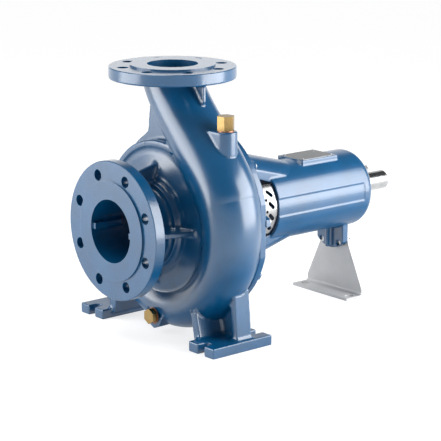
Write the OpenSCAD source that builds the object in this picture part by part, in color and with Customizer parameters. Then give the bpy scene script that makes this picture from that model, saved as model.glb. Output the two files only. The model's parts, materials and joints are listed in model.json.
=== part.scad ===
// End-suction centrifugal pump with a bare shaft, back pull-out type, nozzles DN100 and DN80.
// Origin: centre of the suction flange's raised face. +X runs along the shaft to its drive end, +Z is up.
// All lengths are in millimetres.

/* [Main sizes] */
// Height of the shaft axis above the underside of the feet
axis_height = 180; // [180:0.5:190]
// Height of the discharge face above the shaft axis
discharge_height = 250; // [245:1:270]
// Distance from the suction face to the discharge axis
discharge_x = 125; // [123:0.5:128]
// Distance from the suction face to the shaft's drive end
shaft_end_x = 595; // [590:1:620]

/* [Suction nozzle] */
// Bore of the suction nozzle
suction_bore = 100; // [96:0.5:102]
// Outer diameter of the suction flange
suction_flange_d = 220; // [215:1:230]
// Thickness of the suction flange with its raised face
suction_flange_t = 22; // [18:0.5:26]
// Diameter of the suction flange's raised face
suction_face_d = 158; // [140:1:160]
// Bolt circle of the suction flange
suction_pcd = 180; // [178:0.5:184]
// Number of bolt holes in each flange
flange_holes = 8; // [4:4:8]
// Diameter of a flange bolt hole
flange_hole_d = 18; // [14:0.5:19]
// Height of the raised faces
raised_face_h = 3; // [1:0.5:3]
// Wall of the suction neck
neck_wall = 9.4; // [8:0.2:10]

/* [Discharge nozzle] */
// Bore of the discharge nozzle
discharge_bore = 80; // [74:0.5:82]
// Outer diameter of the discharge flange
discharge_flange_d = 200; // [194:1:206]
// Thickness of the discharge flange with its raised face
discharge_flange_t = 22; // [18:0.5:24]
// Diameter of the discharge flange's raised face
discharge_face_d = 134; // [120:1:138]
// Bolt circle of the discharge flange
discharge_pcd = 160; // [156:0.5:164]

/* [Volute] */
// Wall of the volute
volute_wall = 8; // [6:0.25:9]
// Radius of the volute tube's inner edge about the shaft axis
volute_base_r = 100; // [98:0.5:102]
// Half height of the tube's section at the tongue
tongue_half_h = 19.6; // [18:0.2:21]
// Growth of the squared half height for each degree of wrap
volute_growth = 6.1; // [5.6:0.1:6.4]
// Width of the tube's section over its height
section_ratio = 1.12; // [1.05:0.01:1.16]

/* [Casing joint] */
// Distance from the discharge axis to the joint face of casing and bracket
joint_offset = 50; // [50:0.5:54]
// Outer radius of the joint flanges
joint_flange_r = 158; // [155:0.5:164]
// Half width across the flats at the sides of the joint flanges
joint_flat_y = 152; // [150:0.5:154]
// Radius of the stud circle
stud_circle_r = 145; // [143:0.5:146]
// Number of studs
stud_count = 10; // [8:1:12]
// Diameter of a stud
stud_d = 10; // [8:1:12]
// Radius of the casing's opening for the cover
cover_r = 118; // [116:0.25:120]

/* [Feet] */
// Distance between the outer faces of the casing's feet
feet_width = 340; // [336:1:350]
// Width of a casing foot
foot_w = 60; // [56:0.5:64]
// Length of a casing foot along the shaft
foot_l = 120; // [116:1:130]
// Thickness of a casing foot
foot_t = 16.5; // [14:0.5:18]
// Distance between the slot centres along the shaft
slot_pitch_x = 95; // [90:1:100]
// Distance between the slot rows across the pump
slot_pitch_y = 280; // [276:1:284]
// Width of a foot slot
slot_w = 14.5; // [12:0.5:16]

/* [Impeller] */
// Outer diameter of the impeller
impeller_d = 210; // [204:1:212]
// Outlet width between the shrouds
outlet_w = 16; // [13:0.5:17]
// Thickness of the shrouds at the rim
shroud_t = 4; // [3.5:0.25:4.5]
// Number of vanes
vane_count = 6; // [5:1:7]
// Thickness of a vane
vane_t = 4.5; // [3.5:0.25:5]
// Wrap angle of a vane
vane_wrap = 115; // [95:5:130]
// Running clearance between the impeller's eye and the wear ring
eye_clearance = 0.3; // [0.25:0.05:0.4]

/* [Shaft and bearings] */
// Diameter of the shaft's drive end and seal seat
shaft_d = 32; // [30:0.5:33]
// Length of the shaft end that stands out of the bearing housing
shaft_end_l = 80; // [76:1:84]
// Diameter of the impeller seat
impeller_seat_d = 28; // [26:0.5:28]
// Bore of the ball bearings
bearing_bore = 35; // [35:0.5:36]
// Outer diameter of the ball bearings
bearing_od = 80; // [78:0.5:82]
// Width of the ball bearings
bearing_w = 21; // [19:0.5:22]
// Diameter of a ball
ball_d = 13.4; // [12:0.1:13.6]
// Number of balls in each bearing
ball_count = 8; // [7:1:9]
// Distance from the suction face to the pump-side bearing
pump_bearing_x = 331; // [326:1:336]

/* [Bearing bracket] */
// Outer radius of the bearing housing
housing_r = 65; // [64:0.5:67]
// Distance from the suction face to the housing's front rim
housing_x = 295; // [290:1:300]
// Half width of the lantern's top and bottom struts
strut_half_w = 42; // [40:0.5:44]
// Angle at which the struts' outside rises towards the joint flange
strut_lean = 15; // [13:0.5:16]
// Half width of the flat for the nameplate
pad_half_w = 31; // [28:0.5:33]

/* [Shaft guards] */
// Thickness of the guard's sheet
guard_t = 1.2; // [1:0.1:1.5]
// Pitch of the guard's perforation
guard_pitch = 19.5; // [18:0.5:21]
// Width of a slot in the guard
guard_slot_w = 6.5; // [5:0.5:7]

/* [Support foot] */
// Thickness of the support foot's sheet
sheet_t = 4; // [3:0.25:5]
// Distance from the suction face to the support foot's holes
support_hole_x = 465; // [462:1:467]
// Distance between the support foot's holes
support_pitch_y = 110; // [100:1:114]
// Width of the support foot
support_w = 134; // [130:1:140]

/* [Hidden] */

$fn = 96;
eps = 0.01;
blue = [0.05, 0.30, 0.50];
steel = [0.78, 0.79, 0.80];
brass = [0.80, 0.62, 0.30];
bronze = [0.62, 0.45, 0.28];
rubber_black = [0.06, 0.06, 0.07];

// Places along the shaft
joint_x = discharge_x + joint_offset;
joint_flange_t = 12;
drive_cover_t = 5;
housing_end_x = shaft_end_x - shaft_end_l - drive_cover_t;
drive_bearing_x = housing_end_x - bearing_w - 8;
casing_flange_t = 17;
rim_t = 7;
gasket_t = 1;
rim_r = cover_r + 14;
bracket_back_x = joint_x + joint_flange_t;
wear_ring_x = 88;
wear_ring_l = 14;
wear_ring_r = 66;
eye_r = 58;
hub_x = 112;
hub_end_x = 152;
hub_r = 24;
front_rim_x = discharge_x - outlet_w/2;
back_rim_x = discharge_x + outlet_w/2;
impeller_r = impeller_d/2;
side_gap = 3;
cover_face_x = back_rim_x + shroud_t + side_gap;
seat_x = 152;
chamber_r = cover_r - 4;
seal_face_x = 189;
seat_l = 10;
cover_hub_r = 42;
cover_end_x = seal_face_x + seat_l + 7;
cover_screw_pcd_r = 46.5;
stud_depth = 9;
stud_start = 180 - 4.5;

// One solid of revolution about the shaft axis, from points [radius, x]
module turn(points) {
    rotate([0, 90, 0])
        rotate_extrude()
            polygon(points);
}

// A plain ring about the shaft axis
module ring(x0, x1, r_out, r_in) {
    turn([[r_in, x0], [r_out, x0], [r_out, x1], [r_in, x1]]);
}

// A plain disc about the shaft axis
module disc(x0, x1, r) {
    translate([x0, 0, 0])
        rotate([0, 90, 0])
            cylinder(r = r, h = x1 - x0);
}

// A flat outline drawn in the plane across the shaft, [y, z], from x0 to x1
module across(x0, x1) {
    translate([x0, 0, 0])
        rotate([90, 0, 90])
            linear_extrude(height = x1 - x0)
                children();
}

// A flat outline drawn in the vertical plane along the shaft, [x, z], centred on y
module along(y, width) {
    translate([0, y + width/2, 0])
        rotate([90, 0, 0])
            linear_extrude(height = width)
                children();
}

// Copies on a circle about the shaft axis
module around(count, radius, start = 0) {
    for (i = [0:count - 1])
        rotate([start + i*360/count, 0, 0])
            translate([0, radius, 0])
                children();
}

// A hexagon head along +X from its bearing face
module hex_x(across_flats, height) {
    rotate([0, 90, 0])
        cylinder(r = across_flats/2/cos(30), h = height, $fn = 6);
}

// Volute: each section is [centre y, centre z, tilt, half height, half width]
tongue_angle = -235;
throat_angle = 20;
function half_h(a) = sqrt(pow(tongue_half_h, 2) + volute_growth*(a - tongue_angle));
function spiral_section(a) =
    let (h = half_h(a), r = volute_base_r + h)
    [-r*cos(a), r*sin(a), a, h, h*section_ratio];
neck_r = discharge_bore/2 + volute_wall;
neck_top_z = discharge_height - discharge_flange_t;
neck_end_z = neck_top_z + 6;
neck_bulge = 12;
function bezier(p, t) =
    pow(1 - t, 3)*p[0] + 3*pow(1 - t, 2)*t*p[1] + 3*(1 - t)*t*t*p[2] + t*t*t*p[3];
function neck_section(t) =
    let (s = spiral_section(throat_angle), lead = 60, drop = 40)
    [bezier([s[0], s[0] + lead*sin(throat_angle), 0, 0], t),
     bezier([s[1], s[1] + lead*cos(throat_angle), neck_end_z - drop, neck_end_z], t),
     throat_angle*pow(1 - t, 2),
     s[3] + (neck_r - s[3])*t + neck_bulge*4*t*(1 - t)*(1 - t*t*t),
     s[4] + (neck_r - s[4])*t];
spiral_steps = 30;
neck_steps = 10;
sections = concat(
    [for (i = [0:spiral_steps]) spiral_section(tongue_angle + (throat_angle - tongue_angle)*i/spiral_steps)],
    [for (i = [1:neck_steps]) neck_section(i/neck_steps)]);

function section_ring(s, wall, count) =
    [for (k = [0:count - 1])
        let (a = 360*k/count, out = (s[3] - wall)*sin(a))
        [discharge_x + (s[4] - wall)*cos(a), s[0] - out*cos(s[2]), s[1] + out*sin(s[2])]];

// A closed skin over rings of points
module loft(rings) {
    count = len(rings[0]);
    last = len(rings) - 1;
    sides = [for (i = [0:last - 1]) for (k = [0:count - 1])
        let (a = i*count + k, b = i*count + (k + 1)%count)
        each [[a, b, b + count], [a, b + count, a + count]]];
    start_cap = [[for (k = [count - 1:-1:0]) k]];
    end_cap = [[for (k = [0:count - 1]) last*count + k]];
    polyhedron(points = [for (r = rings) each r], faces = concat(sides, start_cap, end_cap), convexity = 8);
}

// Outside of the volute's tube and neck
module volute_tube() {
    loft([for (s = sections) section_ring(s, 0, 14)]);
}

// Inside of the volute's tube and neck, drawn in a little towards the machined bore
function passage_wall(i) = volute_wall + 1 + 7*pow(max(0, i - spiral_steps)/neck_steps, 3);
module volute_passage() {
    loft([for (i = [1:len(sections) - 2]) section_ring(sections[i], passage_wall(i), 12)]);
}

neck_rib_t = 8;
dish_r = 109.5;
dish_x = 95;
front_ring_x = dish_x - 2.5;
collar_x = 86;
collar_r = 76.8;
barrel_r = cover_r + 8.5;
front_ring_r = barrel_r + 5;

// The outside of the suction side: flange, stepped neck, collar and dished front wall
module suction_side() {
    flange_r = suction_flange_d/2;
    face_r = suction_face_d/2;
    neck_out = suction_bore/2 + neck_wall;
    edge = 1;
    turn([[0, 0], [face_r, 0], [face_r, raised_face_h], [flange_r - edge, raised_face_h],
        [flange_r, raised_face_h + edge], [flange_r, suction_flange_t - edge],
        [flange_r - edge, suction_flange_t], [neck_out + 4, suction_flange_t],
        [neck_out, suction_flange_t + 6], [neck_out, 74.6], [67.3, 74.6], [68, 75.3], [70.5, 84],
        [collar_r, 84.6], [collar_r, collar_x], [dish_r, dish_x], [front_ring_r - 11, dish_x + 0.5],
        [front_ring_r - 10, front_ring_x], [front_ring_r - 2, front_ring_x], [front_ring_r, front_ring_x + 2],
        [front_ring_r, dish_x + 6], [barrel_r, dish_x + 9], [barrel_r, joint_x - 4], [0, joint_x - 4]]);
    // Four ribs from the flange to the dish
    for (a = [0:90:270])
        rotate([a, 0, 0])
            along(0, neck_rib_t)
                polygon([[suction_flange_t - 2, neck_out - 4], [suction_flange_t - 2, 79], [92, 96.5],
                    [dish_x, 80], [collar_x, neck_out - 4]]);
}

// The discharge flange with the round end of its neck
module discharge_side() {
    flange_r = discharge_flange_d/2;
    face_r = discharge_face_d/2;
    edge = 1;
    face_z = discharge_height - raised_face_h;
    translate([discharge_x, 0, 0])
        rotate_extrude()
            polygon([[0, neck_top_z - 14], [neck_r - 6, neck_top_z - 14], [neck_r + 6, neck_top_z],
                [flange_r - edge, neck_top_z], [flange_r, neck_top_z + edge],
                [flange_r, face_z - edge], [flange_r - edge, face_z], [face_r, face_z],
                [face_r, discharge_height], [0, discharge_height]]);
    // The small gusset under the flange, on the volute's outer side
    across(discharge_x - 2.5, discharge_x + 2.5)
        polygon([[-neck_r + 8, neck_top_z + 2], [-neck_r - 30, neck_top_z + 2], [-neck_r - 30, neck_top_z - 30],
            [-neck_r - 25, neck_top_z - 35], [-neck_r - 10, neck_top_z - 35]]);
}

flange_hole_r = flange_hole_d/2;
foot_z = -axis_height;
foot_top_z = foot_z + foot_t;
foot_inner_y = feet_width/2 - foot_w;
web_t = 7;
column_x = 134;
column_w = 30;

// One casing foot with its leg, on the side given by sign
module casing_foot(side) {
    slot_y = slot_pitch_y/2;
    slot_end = slot_pitch_x/2;
    mirror([0, side < 0 ? 1 : 0, 0]) {
        difference() {
            translate([discharge_x - foot_l/2, foot_inner_y, foot_z])
                cube([foot_l, foot_w, foot_t]);
            for (e = [-1, 1])
                translate([discharge_x, slot_y, foot_z - 1]) {
                    translate([e*slot_end, 0, 0])
                        cylinder(d = slot_w, h = foot_t + 2);
                    translate([e > 0 ? slot_end : -foot_l, -slot_w/2, 0])
                        cube([foot_l - slot_end, slot_w, foot_t + 2]);
                }
        }
        // Inner web, leaning in towards the volute
        across(83, 172)
            polygon([[foot_inner_y - 8, foot_z + 10], [foot_inner_y + web_t - 8, foot_z + foot_t - 1],
                [foot_inner_y + web_t, foot_top_z - 1], [95 + web_t, -110], [90, -110]]);
        // Cross web from the foot to the volute
        across(column_x - web_t/2, column_x + web_t/2)
            polygon([[foot_inner_y - 4, foot_z + 12], [feet_width/2 - 8, foot_top_z - 1],
                [feet_width/2 - 14, -86], [90, -100]]);
        // Outer column face
        translate([column_x, 0, 0])
            across(-column_w/2, column_w/2)
                polygon([[feet_width/2 - 18, foot_top_z - 1], [feet_width/2 - 7, foot_top_z - 1],
                    [feet_width/2 - 14, -86], [feet_width/2 - 28, -86]]);
    }
}

vent_y = -128;
vent_z = 161.5;
vent_r = 18;
drain_x = 84;
drain_z = -151;
plug_thread_r = 8.5;

// The back flange that the bracket is bolted to
module joint_flange(x0, x1) {
    intersection() {
        disc(x0, x1, joint_flange_r);
        translate([x0 - 1, -joint_flat_y, -joint_flange_r])
            cube([x1 - x0 + 2, 2*joint_flat_y, 2*joint_flange_r]);
    }
}

// The cast volute casing
module volute_casing() {
    inlet_ribs();
    color(blue)
        difference() {
            union() {
                suction_side();
                discharge_side();
                volute_tube();
                joint_flange(joint_x - casing_flange_t, joint_x);
                casing_foot(1);
                casing_foot(-1);
                // Web between the neck and the tongue
                across(discharge_x - 8, discharge_x + 8)
                    polygon([[0, 200], [44, 205], [51, 156], [51.7, 145], [54, 136], [60, 131], [72, 123],
                        [84, 114], [60, 100], [0, 110]]);
                // Boss of the vent plug
                translate([discharge_x, vent_y, 95])
                    cylinder(r = vent_r, h = vent_z - 95);
                translate([discharge_x - vent_r, vent_y, 110])
                    cube([2*vent_r, 52, vent_z - 110]);
                // Boss of the drain plug
                translate([drain_x, 0, drain_z])
                    rotate([0, 90, 0])
                        cylinder(r = 21.5, h = 30, $fn = 8);
            }
            volute_passage();
            // Slit across the front ring
            rotate([76, 0, 0])
                translate([front_ring_x - 1, front_ring_r - 12, -1.2])
                    cube([4, 14, 2.4]);
            // Round end of the discharge passage
            translate([discharge_x, 0, neck_top_z - 16])
                cylinder(d = discharge_bore, h = discharge_flange_t + 18);
            // Suction passage, wear ring seat, impeller chamber, cover seat
            turn([[0, -1], [suction_bore/2, -1], [suction_bore/2, wear_ring_x], [wear_ring_r, wear_ring_x],
                [wear_ring_r, wear_ring_x + wear_ring_l], [chamber_r - 4, front_rim_x - shroud_t - side_gap],
                [chamber_r, front_rim_x - 5], [chamber_r, seat_x], [cover_r, seat_x],
                [cover_r, joint_x - rim_t - gasket_t], [rim_r + 0.3, joint_x - rim_t - gasket_t],
                [rim_r + 0.3, joint_x + 1], [0, joint_x + 1]]);
            // Bolt holes of the two flanges
            translate([-1, 0, 0])
                around(flange_holes, suction_pcd/2, 22.5)
                    rotate([0, 90, 0])
                        cylinder(r = flange_hole_r, h = suction_flange_t + 2);
            for (i = [0:flange_holes - 1])
                translate([discharge_x, 0, neck_top_z - 1])
                    rotate([0, 0, 22.5 + i*360/flange_holes])
                        translate([discharge_pcd/2, 0, 0])
                            cylinder(r = flange_hole_r, h = discharge_flange_t + 2);
            // Threaded holes for the studs and the two plugs
            translate([joint_x - stud_depth, 0, 0])
                around(stud_count, stud_circle_r, stud_start)
                    rotate([0, 90, 0])
                        cylinder(d = stud_d, h = stud_depth + 1);
            translate([discharge_x, vent_y, vent_z - 30])
                cylinder(r = plug_thread_r, h = 31);
            translate([drain_x - 1, 0, drain_z])
                rotate([0, 90, 0])
                    cylinder(r = plug_thread_r, h = 24);
        }
}

// The suction passage's two cast ribs, which stop the inflow from swirling
module inlet_ribs() {
    rib_t = 9;
    rib_h = 7.5;
    color(blue)
        for (side = [0, 180])
            rotate([side, 0, 0])
                translate([3, suction_bore/2 - rib_h, -rib_t/2])
                    cube([55, rib_h + 3, rib_t]);
}

// Renewable ring that seals the impeller's eye
module wear_ring() {
    color(bronze)
        ring(wear_ring_x, wear_ring_x + wear_ring_l, wear_ring_r, eye_r + eye_clearance);
}

seat_r = 25;
cup_r = 27.5;
shaft_r = shaft_d/2;
seal_room_r = 34;

// Cover behind the impeller, with the seal chamber in its hub
module casing_cover() {
    plate_t = 9;
    plug_r = cover_r - 0.3;
    rim_x = joint_x - rim_t;
    color(blue)
        turn([[seal_room_r, cover_face_x], [chamber_r - 2, cover_face_x], [chamber_r - 0.5, cover_face_x + 1.5],
            [chamber_r - 0.5, seat_x + 1], [plug_r, seat_x + 1], [plug_r, rim_x], [rim_r, rim_x], [rim_r, joint_x], [plug_r - 11, joint_x],
            [plug_r - 14, cover_face_x + plate_t + 3], [plug_r - 18, cover_face_x + plate_t],
            [cover_hub_r + 6, cover_face_x + plate_t], [cover_hub_r, cover_face_x + plate_t + 8],
            [cover_hub_r, cover_end_x], [shaft_r + 2, cover_end_x], [shaft_r + 2, seal_face_x + seat_l],
            [cup_r, seal_face_x + seat_l], [cup_r, seal_face_x - 2], [seal_room_r, seal_face_x - 6]]);
}

// Flat gasket between the casing and the cover's rim
module casing_gasket() {
    color([0.35, 0.38, 0.35])
        ring(joint_x - rim_t - gasket_t, joint_x - rim_t, rim_r - 1, cover_r + 1);
}

strut_end_x = 359;
strut_in_r = 60;
strut_foot_r = 90;
strut_round = 51;
boss_x = support_hole_x + 5;
boss_t = 12;
foot_screw_y = 20.5;
foot_screw_z = -91;
foot_screw_d = 10;
pad_x = 376;
pad_l = 80;
pad_z = 66;
panel_x = housing_end_x - 20;
panel_depth = 1.6;
bore_r = bearing_od/2;
cover_flange_r = 53;
cover_flange_t = 6;
pump_cover_x = pump_bearing_x - 13;
guard_r = strut_in_r - 0.1;
guard_screw_x = 305;
guard_screw_angle = 30;
cover_screw_d = 8;
end_round = 12;

// Top strut of the lantern: round outside, rising to the joint flange, and a conical inside
module lantern_strut() {
    start_x = joint_x + 1;
    lap = 10;
    difference() {
        intersection() {
            translate([start_x, -strut_half_w, 0])
                cube([strut_end_x + lap - start_x, 2*strut_half_w, 150]);
            translate([strut_end_x, 0, housing_r - strut_round/cos(strut_lean)])
                rotate([0, strut_lean - 90, 0])
                    translate([0, 0, -lap])
                        cylinder(r = strut_round, h = (strut_end_x - start_x)/cos(strut_lean) + 3*lap);
        }
        turn([[0, joint_x], [strut_foot_r, joint_x], [strut_foot_r, start_x], [strut_in_r, housing_x],
            [strut_in_r + 1, housing_x + 4], [strut_in_r + 1, strut_end_x + 2*lap], [0, strut_end_x + 2*lap]]);
    }
}

// Cast bracket: joint flange, lantern struts and bearing housing in one piece
module bearing_bracket() {
    boss_round = 43.6;
    boss_half_w = 32;
    boss_bottom = -102;
    color(blue)
        difference() {
            union() {
                difference() {
                    joint_flange(joint_x, bracket_back_x);
                    disc(joint_x - 1, bracket_back_x + 1, 100);
                }
                lantern_strut();
                mirror([0, 0, 1])
                    lantern_strut();
                // Bearing housing, open at the front and rounded at its rear end
                turn(concat([[strut_in_r, housing_x], [housing_r, housing_x]],
                    [for (a = [0:15:90])
                        [housing_r - end_round*(1 - cos(a)), housing_end_x - end_round*(1 - sin(a))]],
                    [[bore_r, housing_end_x], [bore_r, drive_bearing_x - 4], [bore_r + 12, drive_bearing_x - 10],
                    [bore_r + 12, pump_bearing_x + bearing_w + 9], [bore_r, pump_bearing_x + bearing_w + 3],
                    [bore_r, pump_cover_x], [strut_in_r, pump_cover_x]]));
                // Flat for the nameplate
                translate([pad_x, -pad_half_w, 54])
                    cube([pad_l, 2*pad_half_w, pad_z - 54]);
                // Boss that the support foot is screwed to
                intersection() {
                    translate([boss_x, 0, boss_bottom + boss_round])
                        rotate([0, 90, 0])
                            cylinder(r = boss_round, h = boss_t);
                    translate([boss_x, -boss_half_w, boss_bottom])
                        cube([boss_t, 2*boss_half_w, 48]);
                }
                translate([boss_x - 9, -2.5, boss_bottom + 2])
                    cube([10, 5, 40]);
            }
            // Clearance over the nameplate's flat
            translate([pad_x, -pad_half_w, pad_z])
                cube([pad_l, 2*pad_half_w, 10]);
            // Sunk panel on the side, open towards the lantern
            intersection() {
                ring(housing_x - 1, panel_x, housing_r + 5, housing_r - panel_depth);
                translate([housing_x - 1, -housing_r - 6, -12])
                    cube([panel_x - housing_x + 1, 40, 31]);
            }
            // Holes for studs, cover screws, foot screws and guard screws
            translate([joint_x - 1, 0, 0])
                around(stud_count, stud_circle_r, stud_start)
                    rotate([0, 90, 0])
                        cylinder(d = stud_d + 1, h = joint_flange_t + 2);
            for (x = [pump_cover_x - 1, housing_end_x - 17])
                translate([x, 0, 0])
                    around(4, cover_screw_pcd_r, 45)
                        rotate([0, 90, 0])
                            cylinder(d = cover_screw_d, h = 18);
            for (side = [-1, 1])
                translate([boss_x - 1, side*foot_screw_y, foot_screw_z])
                    rotate([0, 90, 0])
                        cylinder(d = foot_screw_d, h = boss_t + 2);
            guard_holes(strut_in_r - 1, 5);
        }
}

// Threaded holes for the guards' screws, from radius r outwards
module guard_holes(r, depth) {
    for (a = [0, 180])
        for (b = [-guard_screw_angle, guard_screw_angle])
            rotate([a + b, 0, 0])
                translate([guard_screw_x, r, 0])
                    rotate([-90, 0, 0])
                        cylinder(d = 5, h = depth);
}

// Studs of the casing joint
module casing_studs() {
    color(steel)
        translate([joint_x - stud_depth, 0, 0])
            around(stud_count, stud_circle_r, stud_start)
                rotate([0, 90, 0])
                    cylinder(d = stud_d, h = stud_depth + joint_flange_t + 13);
}

// Nuts of the casing joint
module casing_nuts() {
    nut_h = 8.4;
    color(blue)
        translate([bracket_back_x, 0, 0])
            around(stud_count, stud_circle_r, stud_start)
                difference() {
                    hex_x(17, nut_h);
                    translate([-1, 0, 0])
                        rotate([0, 90, 0])
                            cylinder(d = stud_d, h = nut_h + 2);
                }
}

plug_seal_t = 1.5;

// A sealing plug with a hexagon head, along +Z from its seat
module plug(across_flats, head_h, thread_l) {
    cylinder(r = across_flats/2/cos(30), h = head_h, $fn = 6);
    translate([0, 0, -thread_l])
        cylinder(r = plug_thread_r, h = thread_l + 1);
}

// The plugs' sealing rings
module plug_seal_ring() {
    difference() {
        cylinder(r = 13, h = plug_seal_t);
        translate([0, 0, -1])
            cylinder(r = plug_thread_r, h = plug_seal_t + 2);
    }
}

// Places a child on the vent boss, along +Z
module at_vent() {
    translate([discharge_x, vent_y, vent_z])
        rotate([0, 0, -20.4])
            children();
}

// Places a child on the drain boss, along -X
module at_drain() {
    translate([drain_x, 0, drain_z])
        rotate([0, -90, 0])
            children();
}

// Brass plug on top of the volute
module vent_plug() {
    color(brass)
        at_vent()
            translate([0, 0, plug_seal_t])
                plug(24, 22, 18);
}

// Sealing ring of the vent plug
module vent_plug_seal() {
    color(bronze)
        at_vent()
            plug_seal_ring();
}

// Brass plug at the volute's lowest point
module drain_plug() {
    color(brass)
        at_drain()
            translate([0, 0, plug_seal_t])
                plug(22, 9, 16);
}

// Sealing ring of the drain plug
module drain_plug_seal() {
    color(bronze)
        at_drain()
            plug_seal_ring();
}

// Stationary ring of the mechanical seal
module seal_seat() {
    color([0.88, 0.87, 0.82])
        ring(seal_face_x, seal_face_x + seat_l - 0.5, seat_r, shaft_r + 1.8);
}

// Rubber cup that holds the stationary ring in the cover
module seal_seat_cup() {
    color(rubber_black)
        ring(seal_face_x + 2, seal_face_x + seat_l, cup_r, seat_r);
}

pitch_r = (bearing_bore + bearing_od)/4;
groove_r = ball_d/2 + 0.15;
race_land = 4.7;

// Outer ring of a ball bearing whose pump side face is at x
module outer_ring(x) {
    color(steel)
        difference() {
            ring(x, x + bearing_w, bore_r, pitch_r + race_land);
            race_groove(x);
        }
}

// Inner ring of a ball bearing whose pump side face is at x
module inner_ring(x) {
    color(steel)
        difference() {
            ring(x, x + bearing_w, pitch_r - race_land, bearing_bore/2);
            race_groove(x);
        }
}

// The space that the balls' track is cut from
module race_groove(x) {
    translate([x + bearing_w/2, 0, 0])
        rotate([0, 90, 0])
            rotate_extrude()
                translate([pitch_r, 0])
                    circle(r = groove_r);
}

// The balls of a bearing whose pump side face is at x
module balls(x, r) {
    translate([x + bearing_w/2, 0, 0])
        around(ball_count, pitch_r)
            sphere(r = r);
}

// Machined cage of a bearing, with a round window for each ball
module cage(x) {
    half_w = 8.2;
    half_t = 1.8;
    color([0.72, 0.66, 0.50])
        difference() {
            ring(x + bearing_w/2 - half_w, x + bearing_w/2 + half_w, pitch_r + half_t, pitch_r - half_t);
            translate([x + bearing_w/2, 0, 0])
                around(ball_count, pitch_r - 6)
                    rotate([-90, 0, 0])
                        cylinder(r = ball_d/2 + 0.15, h = 12);
        }
}

module pump_side_outer_ring() {
    outer_ring(pump_bearing_x);
}

module drive_side_outer_ring() {
    outer_ring(drive_bearing_x);
}

module pump_side_inner_ring() {
    inner_ring(pump_bearing_x);
}

module drive_side_inner_ring() {
    inner_ring(drive_bearing_x);
}

module pump_side_balls() {
    color(steel)
        balls(pump_bearing_x, ball_d/2);
}

module drive_side_balls() {
    color(steel)
        balls(drive_bearing_x, ball_d/2);
}

module pump_side_cage() {
    cage(pump_bearing_x);
}

module drive_side_cage() {
    cage(drive_bearing_x);
}

journal_r = shaft_r + 1;
lip_seal_r = 23.5;
lip_seal_t = 7.5;

// Bearing cover at x = 0 with its spigot towards +X, and clearance holes for four screws
module bearing_cover(flange_t, spigot_l) {
    difference() {
        turn([[lip_seal_r, -flange_t], [cover_flange_r, -flange_t], [cover_flange_r, 0], [bore_r - 0.2, 0],
            [bore_r - 0.2, spigot_l], [bore_r - 5.5, spigot_l], [bore_r - 5.5, lip_seal_t - flange_t + 2],
            [shaft_r + 3, lip_seal_t - flange_t + 2], [shaft_r + 3, lip_seal_t - flange_t],
            [lip_seal_r, lip_seal_t - flange_t]]);
        translate([-flange_t - 1, 0, 0])
            around(4, cover_screw_pcd_r, 45)
                rotate([0, 90, 0])
                    cylinder(d = cover_screw_d + 1, h = flange_t + 2);
    }
}

// Faces a child the other way along the shaft, from the housing's rear end
module from_drive_end() {
    translate([housing_end_x, 0, 0])
        mirror([1, 0, 0])
            children();
}

// Cover in front of the pump-side bearing
module pump_side_bearing_cover() {
    color(blue)
        translate([pump_cover_x, 0, 0])
            bearing_cover(cover_flange_t, pump_bearing_x - pump_cover_x);
}

// Cover behind the drive-side bearing
module drive_side_bearing_cover() {
    color(blue)
        from_drive_end()
            bearing_cover(drive_cover_t, housing_end_x - drive_bearing_x - bearing_w);
}

// Four hexagon screws through a bearing cover at x = 0
module cover_screws(flange_t) {
    around(4, cover_screw_pcd_r, 45) {
        translate([-flange_t - 5.3, 0, 0])
            hex_x(13, 5.3);
        translate([-flange_t - 1, 0, 0])
            rotate([0, 90, 0])
                cylinder(d = cover_screw_d, h = 15 + flange_t);
    }
}

module pump_side_cover_screws() {
    color(steel)
        translate([pump_cover_x, 0, 0])
            cover_screws(cover_flange_t);
}

module drive_side_cover_screws() {
    color(steel)
        from_drive_end()
            cover_screws(drive_cover_t);
}

// Shaft seal in the pump-side cover
module pump_side_lip_seal() {
    color(rubber_black)
        translate([pump_cover_x - cover_flange_t, 0, 0])
            ring(0, lip_seal_t, lip_seal_r, shaft_r + 0.1);
}

// Shaft seal in the drive-side cover
module drive_side_lip_seal() {
    color(rubber_black)
        from_drive_end()
            ring(-drive_cover_t, lip_seal_t - drive_cover_t, lip_seal_r, journal_r + 0.1);
}

guard_x = 190;
guard_end_x = 312;
guard_half_angle = 44;
guard_columns = 5;
guard_rows = 4;

// A slot with round ends, cut radially and slanted across the sheet
module guard_slot() {
    half_l = 4.5;
    rotate([0, -45, 0]) {
        for (e = [-half_l, half_l])
            translate([e, 0, 0])
                rotate([-90, 0, 0])
                    cylinder(d = guard_slot_w, h = 10);
        translate([-half_l, 0, -guard_slot_w/2])
            cube([2*half_l, 10, guard_slot_w]);
    }
}

// Perforated sheet that closes the lantern's window on the +Y side
module shaft_guard() {
    step = guard_pitch/guard_r*180/PI;
    difference() {
        rotate([90 - guard_half_angle, 0, 0])
            rotate([0, 90, 0])
                translate([0, 0, guard_x])
                    rotate_extrude(angle = 2*guard_half_angle)
                        translate([guard_r - guard_t, 0])
                            square([guard_t, guard_end_x - guard_x]);
        for (i = [0:guard_columns - 1])
            for (k = [0:guard_rows - 1])
                rotate([(k - (guard_rows - 1)/2)*step, 0, 0])
                    translate([guard_x + 14 + i*guard_pitch, guard_r - 5, 0])
                        guard_slot();
        for (i = [0:guard_columns - 2])
            for (k = [0:guard_rows - 2])
                rotate([(k - (guard_rows - 2)/2)*step, 0, 0])
                    translate([guard_x + 14 + (i + 0.5)*guard_pitch, guard_r - 5, 0])
                        rotate([-90, 0, 0])
                            cylinder(d = 5, h = 10);
        guard_holes(guard_r - 5, 10);
    }
}

module left_shaft_guard() {
    color(steel)
        shaft_guard();
}

module right_shaft_guard() {
    color(steel)
        rotate([180, 0, 0])
            shaft_guard();
}

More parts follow.
